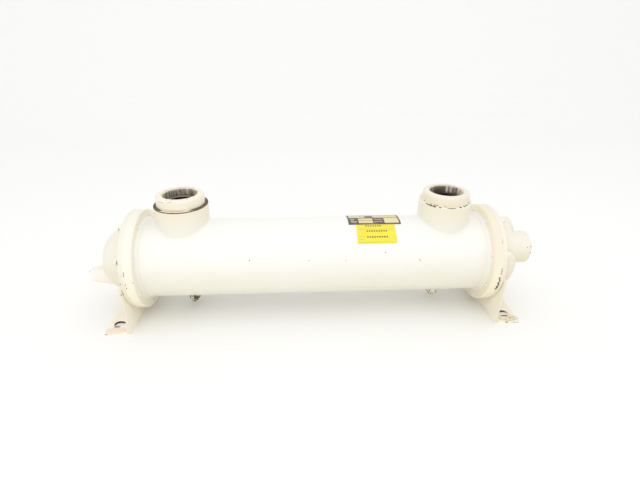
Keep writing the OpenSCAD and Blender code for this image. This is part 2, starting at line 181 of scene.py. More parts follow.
# Each scuff: its middle and its half widths, along the shell, round it in degrees, and out from the axis
SCUFFS = [((-165, 21.3, 0), (0.9, 1.3, FREE)), ((-20, 19.7, 0), (0.7, 0.9, FREE)), ((71, 18.6, 0), (0.7, 1.0, FREE)),
          ((170.5, 28.6, 0), (0.8, 1.2, FREE)), ((256, 17.8, 0), (0.8, 0.7, FREE)),
          ((259, 16.4, 0), (0.9, 0.9, FREE))]
shell_paint, tree, place = new_material("sprayed_enamel_on_pipe")
where = ragged(tree, place, round_shell(tree, place), 2.5, (3.0, 1.8, 0.0))
enamel_surface(tree, place, flaked(tree, where, SCUFFS), SHELL_ENAMEL)
paint_node("shell", shell_paint)

# Tube bundle
# Drawn copper alloy tubes, rolled into two machined steel tube sheets, pass through segmental steel baffles on tie
# rods. They show only down the ports, dull and stained by oil and water.


def stained_metal(name, colour, stain, roughness, metallic, grain_mm):
    """Bare metal: two colours mixed by a noise with grains grain_mm wide, the stains rougher than the clean metal."""
    material, tree, place = new_material(name)
    noise = add(tree, "TexNoise", Vector=place, Scale=MM / grain_mm, Detail=5.0, Roughness=0.6).outputs[0]
    mask = add(tree, "MapRange", Value=noise, From_Min=0.4, From_Max=0.62).outputs[0]
    mix = add(tree, "Mix", RGBA, Factor=mask, i6=linear(colour), i7=linear(stain))
    rough = add(tree, "MapRange", Value=mask, To_Min=roughness, To_Max=min(1.0, roughness + 0.25)).outputs[0]
    shader = add(tree, "BsdfPrincipled", Base_Color=mix.outputs[2], Roughness=rough, Metallic=metallic)
    finish_material(tree, shader, noise, 0.15)
    return material


# The copper alloy keeps a brown gleam, and the machined and the rolled steel are grey under brown stains
tube_metal = stained_metal("drawn_copper_alloy_tube", "#8A6445", "#4A3A2C", 0.42, 1.0, 16.0)
sheet_metal = stained_metal("machined_steel_sheet", "#8C8578", "#5A4C3C", 0.45, 1.0, 22.0)
plate_metal = stained_metal("mill_steel_plate", "#7A746A", "#4A4036", 0.5, 1.0, 25.0)
for node in ("tube_sheet_left", "tube_sheet_right"):
    paint_node(node, sheet_metal)
for node in ("baffles", "tie_rods"):
    paint_node(node, plate_metal)
paint_node("tubes", tube_metal)

# Hub flanges
# Steel rings welded on the shell's ends. The enamel went on them thicker and has yellowed more. Spanners and slings
# have chipped the rims along the seam, most of all low on the front of the right end, in dark streaks. The lowest
# streaks, on the right bonnet flange's outer edge, are painted shade along the underside of the rim.
hub_low, hub_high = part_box("hub_flange_right")
HUB_WELD = 0.008
HUB_IN_X, HUB_OUT_X = hub_low[0] + HUB_WELD, hub_high[0]
FLANGE_R = (hub_high[1] - hub_low[1]) / 2
BONNET_FACE_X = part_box("foot_bracket_right")[0][0]
# The thicker enamel's colour, its yellower patches, and a lighter third tone that is painted light where it faces up
THICK_ENAMEL = ("#EBE4CE", "#E7DEC2", "#F6F2E6")
ENDS = ((-1, "left"), (1, "right"))
# Each chip: its place along the shell, its angle up from the front, and half its width and height
RIGHT_CHIPS = [(456, 7.5, 1.2, 1.0), (456.5, 5.0, 0.8, 1.6), (456, 2.0, 1.0, 1.5), (455, -4.4, 2.1, 1.9),
               (457, -7.8, 1.9, 1.7), (455.5, -11, 2.2, 1.8), (457.5, -13.8, 1.9, 2.1), (455.8, -17, 2.6, 1.8),
               (458, -18.8, 1.3, 1.5), (455.5, -20.6, 2.3, 1.6), (468.3, -11.9, 0.8, 1.2), (468.5, -17.2, 0.8, 1.8),
               # The chips at 468.8 mm, from 29 to 39.5 degrees below the front, are painted shade along the rim's
               # lower edge
               (468.5, -22.6, 0.9, 1.6), (468.8, -29, 0.7, 1.8), (468.8, -35, 0.6, 2.4), (468.8, -39.5, 0.6, 1.2),
               (456.8, 38, 0.4, 3.2)]
LEFT_CHIPS = [(-455.5, 9.2, 1.1, 1.1), (-455.5, -1.3, 1.0, 0.8), (-455.2, -5.8, 1.2, 1.0), (-467.6, 23.5, 0.8, 2.4),
              (-466.8, -0.3, 1.4, 1.1), (-467.5, -13.5, 1.1, 1.2), (-456.5, -21, 0.8, 0.8),
              (-468.4, -24, 0.7, 1.3), (-455.2, 11.6, 0.5, 2.6)]
rim_spots = [((x, angle, 0), (half_x, half_angle, FREE)) for x, angle, half_x, half_angle in RIGHT_CHIPS + LEFT_CHIPS]
rim_spots += [((-437, 0.5, FLANGE_R * MM), (1.0, 0.9, 1.2))]


def rim_chips(tree, place):
    """The mask of the chips along the rims of hub and bonnet flange."""
    return flaked(tree, ragged(tree, place, round_shell(tree, place), 1.8, (3.4, 2.4, 0.0)), rim_spots)


def rim_paint(name, tones):
    """Enamel with the chips of the flange rims in it."""
    material, tree, place = new_material(name)
    enamel_surface(tree, place, rim_chips(tree, place), tones)
    return material


# Each end has its own tones; the third, where the rims face up, is painted light, whiter on the left end than the
# right
flange_paint = {"left": rim_paint("enamel_on_steel_flange_left", ("#F4EDD8", "#F0E8CF", "#F5F1E6")),
                "right": rim_paint("enamel_on_steel_flange_right", ("#F6EED6", "#F1E7CB", "#F0E8D3"))}
for side, word in ENDS:
    paint_node("hub_flange_" + word, flange_paint[word])


def mesh_piece(name, points, faces, material, crease=40):
    """Makes a piece from an array of points and a list of faces, with edges sharper than crease degrees kept sharp."""
    mesh = bpy.data.meshes.new(name)
    mesh.from_pydata(points.reshape(-1, 3).tolist(), [], faces)
    mesh.polygons.foreach_set("use_smooth", np.ones(len(mesh.polygons), bool))
    mesh.set_sharp_from_angle(angle=math.radians(crease))
    mesh.materials.append(material)
    mesh.update()
    piece = bpy.data.objects.new(name, mesh)
    bpy.context.scene.collection.objects.link(piece)
    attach(piece, "root")
    return piece


def ring_faces(rows, columns):
    """Faces of a ring: a grid closed along its rows and round its columns."""
    r, c = np.meshgrid(np.arange(rows), np.arange(columns), indexing="ij")
    r2, c2 = (r + 1) % rows, (c + 1) % columns
    quads = np.stack([r * columns + c, r2 * columns + c, r2 * columns + c2, r * columns + c2], -1)
    return quads.reshape(-1, 4).tolist()


def ring_piece(name, points, material, crease=40):
    """Makes a piece from a grid of points that closes both ways."""
    return mesh_piece(name, points, ring_faces(*points.shape[:2]), material, crease)


def flange_weld(side):
    """A fillet bead in the corner of shell and hub flange: a quarter section, slightly bulged, carried round the
    shell's axis, its leg swelling by a few hundredths as the cosine of the angle times the number of ripples."""
    leg, turns, sections, sunk = 0.009, 480, 9, 0.0005
    ripples, ripple_share, bulge_share = 96, 0.02, 0.06
    turn = np.linspace(0, 2 * np.pi, turns, endpoint=False)
    s = np.linspace(0, 1, sections)
    swell = leg * (1 + ripple_share * np.cos(ripples * turn))
    bulge = bulge_share * np.sin(np.pi * s)
    out = np.outer(s + bulge, swell)
    back = np.outer(1 - s + bulge, swell)
    radius = np.vstack([SHELL_R - sunk + out, np.full((1, turns), SHELL_R - sunk)])
    x = np.vstack([HUB_IN_X + sunk - back, np.full((1, turns), HUB_IN_X + sunk)])
    return np.stack([side * x, -side * radius * np.cos(turn), AXIS_Z + radius * np.sin(turn)], -1)


FAR_SPOT = [((9, 9, 9), (1, 1, 1))]  # in metres, for a piece without a chip
weld_paint, tree, place = new_material("enamel_on_weld_bead")
enamel_surface(tree, place, flaked(tree, place, FAR_SPOT), SHELL_ENAMEL, peel_mm=1.6)
for side, word in ENDS:
    ring_piece("flange_weld_" + word, flange_weld(side), weld_paint)

# Gaskets
# Pressed fibre sheet between hub and bonnet flange. Paint was sprayed straight over the seam and bridges it, so that
# only a few cracks and chips show where the joint is.
gasket_low, gasket_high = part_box("gasket_right")
GASKET_R = (gasket_high[1] - gasket_low[1]) / 2
# The fibre is dull all over and almost black
fibre = stained_metal("pressed_fibre_gasket", "#3A3833", "#26231F", 0.85, 0.0, 11.0)
paint_node("gasket_left", fibre)
paint_node("gasket_right", fibre)


def seam_film(side):
    """The paint that bridges the seam: a thin band over the gasket's edge, its middle hollowed as a sine."""
    turns, sections = 480, 7
    over, proud, hollow, sunk = 0.0006, 0.00004, 0.00028, 0.0002
    turn = np.linspace(0, 2 * np.pi, turns, endpoint=False)
    s = np.linspace(0, 1, sections)
    x = HUB_OUT_X - over + (gasket_high[0] - HUB_OUT_X + 2 * over) * s
    outer = FLANGE_R + proud - hollow * np.sin(np.pi * s)
    x = np.concatenate([x, x[::-1]])
    radius = np.concatenate([outer, np.full(sections, GASKET_R - sunk)])
    ones = np.ones(turns)
    return np.stack([np.outer(side * x, ones), np.outer(-side * radius, np.cos(turn)),
                     AXIS_Z + np.outer(radius, np.sin(turn))], -1)


for side, word in ENDS:
    ring_piece("seam_paint_" + word, seam_film(side), flange_paint[word])

# Bonnets
# Grey iron castings under the same enamel. The right one carries the two tube side ports, the left one closes the
# return end and has one small tapped boss. In the bores of the ports and the boss the iron is bare and rusty.
# The cast bonnets' enamel, its yellower patches, and a lighter third tone that is painted light where it faces up
CAST_ENAMEL = ("#E8E1CA", "#E4DBBF", "#F1ECDE")
PORT_FACE_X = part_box("bonnet_right")[1][0]
PORT_Y, PORT_Z, PORT_BORE_R = 0.04752, 0.184165, 0.0278
VENT_FACE_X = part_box("bonnet_left")[0][0]
VENT_Y, VENT_Z, VENT_BORE_R = -0.036, 0.1217, 0.0119


def within(tree, where, limit):
    """A mask that is 1 where the distance from an axis, the third of turned coordinates, is under limit mm."""
    out = add(tree, "SeparateXYZ", i0=where).outputs[2]
    return add(tree, "MapRange", Value=out, From_Min=limit - 0.3, From_Max=limit, **FALLING).outputs[0]


def either(tree, *masks):
    """The larger of several masks."""
    most = masks[0]
    for mask in masks[1:]:
        most = add(tree, "Math", {"operation": "MAXIMUM"}, i0=most, i1=mask).outputs[0]
    return most


def round_port(tree, place, y, z, both=False):
    """Coordinates round a port's axis, which runs along x. both folds the rear port onto the front one."""
    xyz = add(tree, "SeparateXYZ", i0=place).outputs
    across = xyz[1]
    if both:
        across = add(tree, "Math", {"operation": "ABSOLUTE"}, i0=across).outputs[0]
        across = add(tree, "Math", {"operation": "MULTIPLY"}, i0=across, i1=-1.0).outputs[0]
    front = add(tree, "Math", {"operation": "SUBTRACT"}, i0=y, i1=across).outputs[0]
    rise = add(tree, "Math", {"operation": "SUBTRACT"}, i0=xyz[2], i1=z).outputs[0]
    return turned(tree, xyz[0], front, rise)


right_paint, tree, place = new_material("enamel_on_iron_casting_right")
rim = rim_chips(tree, place)
port_where = round_port(tree, place, -PORT_Y, PORT_Z, both=True)
bore = within(tree, port_where, PORT_BORE_R * MM + 0.6)
PORT_MARKS = [((534.3, 23.5, 40), (1.2, 1.6, 9)), ((543.4, 26.8, 40), (2.2, 1.3, 9)), ((543.8, 5, 40), (1.6, 1.8, 9)),
              ((537, 73, 40), (0.5, 1.0, 9)), ((541, 77, 40), (0.5, 0.8, 9))]
port = flaked(tree, ragged(tree, place, port_where, 1.5, (1.6, 2.5, 0.0)), PORT_MARKS)
enamel_surface(tree, place, either(tree, rim, bore, port), CAST_ENAMEL, peel_mm=2.2)
paint_node("bonnet_right", right_paint)

left_paint, tree, place = new_material("enamel_on_iron_casting_left")
rim = rim_chips(tree, place)
vent_where = round_port(tree, place, VENT_Y, VENT_Z)
bore = within(tree, vent_where, VENT_BORE_R * MM + 0.5)
VENT_MARKS = [((-576.6, 60, 16), (1.2, 12, 4)), ((-576, -35, 17), (1.0, 14, 3))]
vent = flaked(tree, ragged(tree, place, vent_where, 1.2, (2.0, 14.0, 0.0)), VENT_MARKS)
# On the small boss, up to 18 mm from its axis, the enamel is painted paler, and by 34 mm it has the casting's own tone
stub = add(tree, "SeparateXYZ", i0=vent_where).outputs[2]
stub = add(tree, "MapRange", Value=stub, From_Min=18.0, From_Max=34.0, **FALLING).outputs[0]
enamel_surface(tree, place, either(tree, rim, bore, vent), CAST_ENAMEL, peel_mm=2.2, stains=[(stub, "#F6F1E8")])
paint_node("bonnet_left", left_paint)


def bore_thread(face_x, toward, y, z, bore_r, pitch, depth, length):
    """Thread ridges in a port bore: a sleeve just inside the bore's wall, whose inner radius falls by depth in a
    triangle wave of the distance along the axis less the angle times the pitch, and fades out at both ends."""
    turns, steps = 96, int(8 * length / pitch) + 1
    clear, wall, inset, run_out = 0.00005, 0.0003, 0.0008, 12
    turn = np.linspace(0, 2 * np.pi, turns, endpoint=False)[None, :]
    s = np.linspace(0, 1, steps)[:, None]
    phase = (s * length / pitch - turn / (2 * np.pi)) % 1.0
    ridge = 1 - 2 * np.abs(phase - 0.5)
    fade = np.clip(np.minimum(s, 1 - s) * run_out, 0, 1)
    inner = bore_r - depth * ridge * fade - clear
    outer = np.full((2, turns), bore_r + wall)
    radius = np.vstack([inner, outer])
    along = inset + length * np.concatenate([s[:, 0], [1.0, 0.0]])[:, None] * np.ones((1, turns))
    turn = turn * np.ones_like(radius)
    return np.stack([face_x - toward * along, y - toward * radius * np.cos(turn), z + radius * np.sin(turn)], -1)


# The cut iron has gone dull brown, and nearly black in the grooves
thread_metal = stained_metal("cut_thread_in_iron", "#4C4038", "#2A211C", 0.6, 0.7, 5.0)
PORT_CUT = {"bore_r": PORT_BORE_R, "pitch": 0.0022, "depth": 0.0013, "length": 0.024}
VENT_CUT = {"bore_r": VENT_BORE_R, "pitch": 0.0018, "depth": 0.0009, "length": 0.016}
PORTS = [("bonnet_right_paint", "port_thread_front", PORT_FACE_X, 1, -PORT_Y, PORT_Z, PORT_CUT),
         ("bonnet_right_paint", "port_thread_rear", PORT_FACE_X, 1, PORT_Y, PORT_Z, PORT_CUT),
         ("bonnet_left_paint", "vent_thread", VENT_FACE_X, -1, VENT_Y, VENT_Z, VENT_CUT)]
for slot, name, face_x, toward, y, z, cut in PORTS:
    ring_piece(name, bore_thread(face_x, toward, y, z, **cut), thread_metal, crease=80)

# Flange bolts
# Eight steel studs at each end are screwed through the hub flange until their rounded tips stand out behind it, and
# carry a washer and a hexagon nut on the bonnet's side. The four lower ones also clamp the foot bracket. All painted.
BOLT_CIRCLE_R = 0.1155
BOLT_COUNT = 8
BOLT_ANGLES = np.radians(360 / BOLT_COUNT * (0.5 + np.arange(BOLT_COUNT)))
STUD_R = 0.00475
NUT_FLATS = 0.016
FOOT_T = 0.006


def stack_faces(rows, columns, copies):
    """Faces of closed solids that lie one after another in the points: grids closed round, their ends capped."""
    r, c = np.meshgrid(np.arange(rows - 1), np.arange(columns), indexing="ij")
    c2 = (c + 1) % columns
    quads = np.stack([r * columns + c, (r + 1) * columns + c, (r + 1) * columns + c2, r * columns + c2], -1)
    quads = quads.reshape(-1, 4)
    first = np.arange(columns)
    last = first[::-1] + (rows - 1) * columns
    starts = np.arange(copies) * rows * columns
    faces = (quads[None] + starts[:, None, None]).reshape(-1, 4).tolist()
    return faces + [(cap + start).tolist() for start in starts for cap in (first, last)]


def stud_and_nut(side, outward, seat_x, angles, profile, columns=36):
    """Turned pieces round the bolt axes: at each step of the profile a distance from the seat, a radius, and whether
    the hexagon cuts it, where the hexagon's radius is half its flats over the cosine of the angle from a flat. Each
    nut stands at another turn than the last."""
    uneven = 2.7
    distance, limit, hexed = (np.array(v, float)[None, :, None] for v in zip(*profile))
    turn = np.linspace(0, 2 * np.pi, columns, endpoint=False)[None, None, :]
    flat = NUT_FLATS / 2 / np.cos((turn + np.pi / 6) % (np.pi / 3) - np.pi / 6)
    radius = np.where(hexed > 0, np.minimum(flat, limit), limit) * np.ones_like(turn)
    spin = turn * outward * side + angles[:, None, None] * uneven
    x = side * (seat_x + outward * distance) + 0 * turn * angles[:, None, None]
    middle_y = -BOLT_CIRCLE_R * np.cos(angles)[:, None, None]
    middle_z = AXIS_Z + BOLT_CIRCLE_R * np.sin(angles)[:, None, None]
    return np.stack(np.broadcast_arrays(x, middle_y - radius * np.cos(spin), middle_z + radius * np.sin(spin)), -1)


NUT_PROFILE = [(-0.001, 0.0098, 0), (0.0011, 0.0098, 0), (0.0016, 0.0094, 0), (0.0016, 0.0080, 0), (0.0017, 0.0088, 1),
               (0.0022, 0.0100, 1), (0.0084, 0.0100, 1), (0.0092, 0.0089, 1), (0.0099, 0.0080, 1),
               (0.0100, 0.0058, 0), (0.0096, 0.0050, 0), (0.0118, STUD_R, 0), (0.0125, 0.0041, 0), (0.0128, 0.0024, 0)]
TIP_PROFILE = [(-0.001, 0.0054, 0), (0.0001, 0.0054, 0), (0.0005, 0.0047, 0), (0.0012, 0.0042, 0), (0.0020, 0.0037, 0),
               (0.0026, 0.0029, 0), (0.0029, 0.0018, 0), (0.0030, 0.0008, 0)]
# Dark marks on the nuts, drawn as bare steel. The long one on the left at 23 degrees lies along the nut's foot on the
# flange: partly bare steel, partly a painted shadow in the gap there.
NUT_MARKS = [((-471.2, 23, 122.5), (0.9, 3.6, 5)), ((480.7, 65.3, 117), (1.3, 1.0, 3)),
             ((-477, 63.8, 118.4), (1.2, 0.8, 2)), ((-471.2, 69, 124), (0.6, 1.6, 2)), ((484, 24, 110), (0.8, 1.2, 3))]
bolt_paint, tree, place = new_material("enamel_on_studs_and_nuts")
where = ragged(tree, place, round_shell(tree, place), 1.5, (1.2, 1.2, 1.0))
enamel_surface(tree, place, flaked(tree, where, NUT_MARKS), THICK_ENAMEL, peel_mm=1.6)
for side, word in ENDS:
    on_foot = np.sin(BOLT_ANGLES) < 0
    nuts = np.concatenate([stud_and_nut(side, 1, BONNET_FACE_X, BOLT_ANGLES[~on_foot], NUT_PROFILE),
                           stud_and_nut(side, 1, BONNET_FACE_X + FOOT_T, BOLT_ANGLES[on_foot], NUT_PROFILE)])
    tips = stud_and_nut(side, -1, HUB_IN_X, BOLT_ANGLES, TIP_PROFILE)
    nut_faces = stack_faces(len(NUT_PROFILE), nuts.shape[2], BOLT_COUNT)
    tip_faces = stack_faces(len(TIP_PROFILE), tips.shape[2], BOLT_COUNT)
    mesh_piece("flange_nuts_" + word, nuts, nut_faces, bolt_paint, crease=32)
    mesh_piece("stud_tips_" + word, tips, tip_faces, bolt_paint, crease=60)

# Foot brackets
# Lengths of steel angle, one leg clamped on the bonnet flange, the other on the ground with two slots. The front
# slot's edges are drawn dark, as bare steel; the front end of the right one is stained brown all over where rust comes
# through.
SLOT_BACK_Y, SLOT_FRONT_Y, LEG_TOP_Z = -83, -105, 6


def foot_enamel(name, side, top_tone, slot_x, slot_half, lip_x, marks, stained, stained_half, share, tint):
    """Enamel on steel angle: bare in the front slot's edges and the marks, in millimetres, and in one region tinted
    wherever a noise of coarse grains is over a share. The upright leg's front end face is painted darker and
    yellower, a painted shade on that face."""
    material, tree, place = new_material(name)
    where = add(tree, "VectorMath", {"operation": "MULTIPLY"}, i0=place, i1=(MM, MM, MM)).outputs[0]
    torn = ragged(tree, place, where, 3.0, (2.0, 1.2, 1.2))
    slot = [((slot_x, SLOT_BACK_Y - 7, 1.0), (slot_half, 13, 6.2)),
            ((lip_x, SLOT_FRONT_Y - 1.4, LEG_TOP_Z), (9, 3.0, 2.6))]
    bare = flaked(tree, torn, slot + marks)
    region = flaked(tree, ragged(tree, place, where, 9.0, (16.0, 12.0, 4.0)), [(stained, stained_half)])
    blotch = add(tree, "TexNoise", Vector=place, Scale=MM / 5.0, Detail=4.0, Roughness=0.7).outputs[0]
    blotch = add(tree, "MapRange", Value=blotch, From_Min=share, From_Max=share + 0.12).outputs[0]
    blotch = add(tree, "Math", {"operation": "MULTIPLY"}, i0=blotch, i1=region).outputs[0]
    # The upright leg's front end face is painted darker: painted shade.
    front_end_shade = flaked(tree, where, [((side * (BONNET_FACE_X * MM + 3), -130, 66), (12, 1.5, 90))])
    # The side tones are painted lighter than the other enamel, a painted light that lifts the shade under the shell.
    # top_tone, given per foot, is painted light where the foot faces up, lighter on the left foot.
    enamel_surface(tree, place, bare, ("#FFFAE9", "#FBF3DD", top_tone), stains=[(front_end_shade, "#E9E0C9"), (blotch, tint)])
    return material


# On the right foot the long low mark at 527 mm along the front end is a painted shadow where the foot meets the
# ground; the other marks are drawn as bare steel.
right_foot = foot_enamel("enamel_on_steel_angle_right", 1, "#F7F1E2", 505, 18, 505,
                         [((501, -130, 1.5), (2.2, 1.0, 2.0)), ((527, -130, 0.5), (9, 1.0, 0.6)),
                          ((534.6, -121, 5.4), (1.4, 3.2, 1.6)), ((516, -115.6, 6), (1.6, 0.8, 1)),
                          ((502, -124, 6), (1.8, 0.8, 1))], (507, -117, 5), (30, 16, 12), 0.42, "#D6C8A0")
# On the left foot the low mark at -531 mm on the front end is a painted shadow where the foot meets the ground; the
# other is drawn as bare steel.
left_foot = foot_enamel("enamel_on_steel_angle_left", -1, "#FDF8EA", -511, 17, -511,
                        [((-531, -130, 0.8), (4.0, 1.0, 1.0)), ((-470.6, -130, 117), (1.1, 1.2, 1.8))],
                        (-508, -122, 5), (30, 14, 12), 0.30, "#F7E6D2")
paint_node("foot_bracket_left", left_foot)
paint_node("foot_bracket_right", right_foot)

# Shell side nozzles
# A steel boss is saddled and welded on the shell, and a threaded bushing with a thick collar is let into it. On the
# left the step round the collar has lost its enamel, but for a tongue at the front; on the right the enamel fills it
# and has only cracked.
boss_low, boss_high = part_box("nozzle_boss_right")
NOZZLE_X = (boss_low[0] + boss_high[0]) / 2
BOSS_R = (boss_high[0] - boss_low[0]) / 2
BOSS_TOP_Z = boss_high[2]
bushing_low, bushing_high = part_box("nozzle_bushing_right")
COLLAR_R = (bushing_high[0] - bushing_low[0]) / 2
RIM_Z, SPIGOT_Z = bushing_high[2], bushing_low[2]
SPIGOT_R, BORE_R, THREAD_L = 0.05, 0.0414, 0.0245


def saddle_fillet(x, up, post_r, leg):
    """The weld where an upright post meets the shell. Round the post, the section is a quadratic Bezier curve from the
    post's wall, one leg above the corner, by the corner, to the shell one leg further out; it closes in the metal."""
    turns, sections, sunk = 240, 13, 0.0006
    turn = np.linspace(0, 2 * np.pi, turns, endpoint=False)
    across, front = np.sin(turn), np.cos(turn)

    def on_pipe(out, depth):
        return np.sqrt((SHELL_R - depth) ** 2 - (out * front) ** 2)

    wall_r, foot_r = post_r - sunk / 4, post_r + leg
    corner = np.stack([wall_r * across, -wall_r * front, on_pipe(wall_r, 0)])
    top = corner + np.array([0, 0, leg])[:, None]
    foot = np.stack([foot_r * across, -foot_r * front, on_pipe(foot_r, sunk / 4)])
    s = np.linspace(0, 1, sections)[:, None, None]
    curve = (1 - s) ** 2 * top + 2 * s * (1 - s) * corner + s ** 2 * foot
    deep_r = post_r - 3 * sunk
    inside_foot = np.stack([foot_r * across, -foot_r * front, on_pipe(foot_r, 3 * sunk)])
    inside_corner = np.stack([deep_r * across, -deep_r * front, on_pipe(deep_r, 3 * sunk)])
    inside_top = np.stack([deep_r * across, -deep_r * front, on_pipe(deep_r, 0) + leg])
    ring = np.concatenate([curve, [inside_foot, inside_corner, inside_top]])
    points = ring.transpose(0, 2, 1) * np.array([1, 1, up]) + np.array([x, 0, AXIS_Z])
    return points if up > 0 else points[::-1]


def round_nozzle(tree, place, x):
    """Coordinates round a nozzle's axis: its height, and degrees from the front toward the right end."""
    xyz = add(tree, "SeparateXYZ", i0=place).outputs
    front = add(tree, "Math", {"operation": "MULTIPLY"}, i0=xyz[1], i1=-1.0).outputs[0]
    aside = add(tree, "Math", {"operation": "SUBTRACT"}, i0=xyz[0], i1=x).outputs[0]
    return turned(tree, xyz[2], front, aside)


def toward_shell(tree, where):
    """A mask that grows from 0 to 1 down the boss: there the enamel is as thin and pale as on the shell."""
    low, high = 246.0, 288.0
    z = add(tree, "SeparateXYZ", i0=where).outputs[0]
    return add(tree, "MapRange", Value=z, From_Min=low, From_Max=high, **FALLING).outputs[0]


STEP_BARE = [((299.3, 0, 66), (1.5, 420, 3.2)), ((301.4, -114, 62), (3.7, 92, 9)), ((301.6, 112, 62), (2.4, 90, 9))]
left_boss, tree, place = new_material("enamel_on_boss_left")
where = round_nozzle(tree, place, -NOZZLE_X)
step = flaked(tree, ragged(tree, place, where, 2.4, (1.4, 7.0, 0.0)), STEP_BARE)
earth = add(tree, "TexNoise", Vector=place, Scale=MM / 6.0, Detail=4.0, Roughness=0.7).outputs[0]
earth = add(tree, "MapRange", Value=earth, From_Min=0.36, From_Max=0.66).outputs[0]
earth = add(tree, "Mix", RGBA, Factor=earth, i6=linear("#42382A"), i7=linear("#80745A")).outputs[2]
tongue = flaked(tree, ragged(tree, place, where, 4.0, (0.8, 8.0, 0.0)), [((302, -2, 60), (3.0, 30, 5))])
enamel_surface(tree, place, step, THICK_ENAMEL, under=earth,
               stains=[(toward_shell(tree, where), SHELL_ENAMEL[0]), (tongue, "#E2D0BA")])
paint_node("nozzle_boss_left", left_boss)

# Each crack: its angle from the front, its distance from the axis, its height, and half its width and height
CRACKS = [(-76.6, 59.8, 303.8, 1.8, 1.2), (-63, 64.2, 301.6, 2.8, 1.3), (-57, 64.4, 301.3, 3.8, 1.5),
          (-53, 60.8, 303.0, 2.4, 1.0), (-50, 64.7, 301.0, 4.0, 1.8), (-43, 60.6, 303.2, 2.4, 1.0),
          (-42, 64.7, 300.9, 5.0, 1.7), (-36.5, 60.5, 303.2, 3.0, 0.9), (-29, 64.4, 301.2, 3.4, 1.3),
          (-18, 60.4, 303.2, 5.0, 0.5), (-4, 64.5, 301.2, 10.5, 0.85), (17.5, 62.5, 301.9, 3.4, 1.7),
          (29.5, 62.1, 302.1, 3.2, 1.5), (38, 61.5, 302.5, 3.6, 1.4), (52, 59.8, 304.0, 3.0, 1.1)]
right_boss, tree, place = new_material("enamel_on_boss_right")
where = round_nozzle(tree, place, NOZZLE_X)
spots = [((z, angle, radius), (half, half_angle, 1.6 * half)) for angle, radius, z, half_angle, half in CRACKS]
crack = flaked(tree, ragged(tree, place, where, 2.0, (1.2, 4.0, 0.0)), spots)
# A ring all round the collar's foot, in the corner of the filled step, is tinted darker and yellower: painted shade in
# that corner.
corner = flaked(tree, where, [((303, 0, 59.6), (3.6, 700, 4.4))])
earth = add(tree, "TexNoise", Vector=place, Scale=MM / 5.0, Detail=3.0).outputs[0]
earth = add(tree, "Mix", RGBA, Factor=earth, i6=linear("#3A3022"), i7=linear("#6E6248")).outputs[2]
enamel_surface(tree, place, crack, THICK_ENAMEL, under=earth,
               stains=[(toward_shell(tree, where), SHELL_ENAMEL[0]), (corner, "#E9E0C6")])
paint_node("nozzle_boss_right", right_boss)

saddle_paint, tree, place = new_material("enamel_on_saddle_weld")
enamel_surface(tree, place, flaked(tree, place, FAR_SPOT), SHELL_ENAMEL, peel_mm=2.0)
for side, word in ENDS:
    fillet = saddle_fillet(side * NOZZLE_X, 1, BOSS_R, 0.012)
    ring_piece("boss_weld_" + word, fillet, saddle_paint)


def step_film():
    """Paint that fills the step of the right nozzle: a concave ring from the collar's wall down to the boss's edge,
    its radius growing as s and its height falling as the square of 1 - s."""
    turns, sections = 240, 7
    sunk, proud, inset, rise = 0.0002, 0.0002, 0.0014, 0.0042
    turn = np.linspace(0, 2 * np.pi, turns, endpoint=False)[None, :]
    s = np.linspace(0, 1, sections)[:, None]
    radius = COLLAR_R - sunk + (BOSS_R - inset - COLLAR_R) * s
    z = BOSS_TOP_Z + proud + rise * (1 - s) ** 2
    under = np.array([[BOSS_R - inset - sunk], [COLLAR_R - sunk]])
    radius = np.concatenate([radius, under]) * np.ones_like(turn)
    z = np.concatenate([z, np.full((2, 1), BOSS_TOP_Z - 1.5 * sunk)]) * np.ones_like(turn)
    return np.stack([NOZZLE_X + radius * np.sin(turn), -radius * np.cos(turn), z], -1)


ring_piece("step_paint_right", step_film(), right_boss)


def threaded_bushing(x):
    """Half outlines turned round the nozzle's axis: spigot, collar with rounded edge, chamfered mouth, threaded bore
    and the narrower bore below it. In the thread the radius grows outward from the bore by a depth times a triangle
    wave of the height over the pitch less the turn, and the threaded bore tapers by 1 in 32."""
    turns, pitch, depth, edge, mouth = 180, 0.003175, 0.0021, 0.006, 0.0022
    step_in, clear, lower_bore_l, taper = 0.0030, 0.0001, 0.012, 32
    low_bore_r = BORE_R - step_in
    corner = np.radians(np.linspace(0, 90, 7))
    outer = np.array([[low_bore_r, SPIGOT_Z], [SPIGOT_R, SPIGOT_Z], [SPIGOT_R, BOSS_TOP_Z - clear],
                      [COLLAR_R, BOSS_TOP_Z - clear]])
    rounded = np.stack([COLLAR_R - edge + edge * np.cos(corner), RIM_Z - edge + edge * np.sin(corner)], -1)
    lip = np.array([[BORE_R + mouth, RIM_Z]])
    steps = int(10 * THREAD_L / pitch)
    fall = np.linspace(0, 1, steps)
    bore = np.stack([BORE_R + 0 * fall, RIM_Z - mouth - (THREAD_L - mouth) * fall], -1)
    ledge_z = RIM_Z - THREAD_L
    lower = np.array([[low_bore_r, ledge_z - 3 * clear], [low_bore_r, ledge_z - lower_bore_l]])
    outline = np.concatenate([outer, rounded, lip, bore, lower])
    turn = np.linspace(0, 2 * np.pi, turns, endpoint=False)
    radius = outline[:, :1] * np.ones(turns)
    z = outline[:, 1:] * np.ones(turns)
    first = len(outer) + len(rounded) + len(lip)
    cut = slice(first, first + steps)
    wave = 1 - 2 * np.abs((z[cut] / pitch - turn / (2 * np.pi)) % 1.0 - 0.5)
    fade = np.clip(10 * (1 - fall), 0, 1)[:, None]
    radius[cut] += depth * wave * fade - (RIM_Z - z[cut]) / taper
    return np.stack([x + radius * np.sin(turn), -radius * np.cos(turn), z], -1)


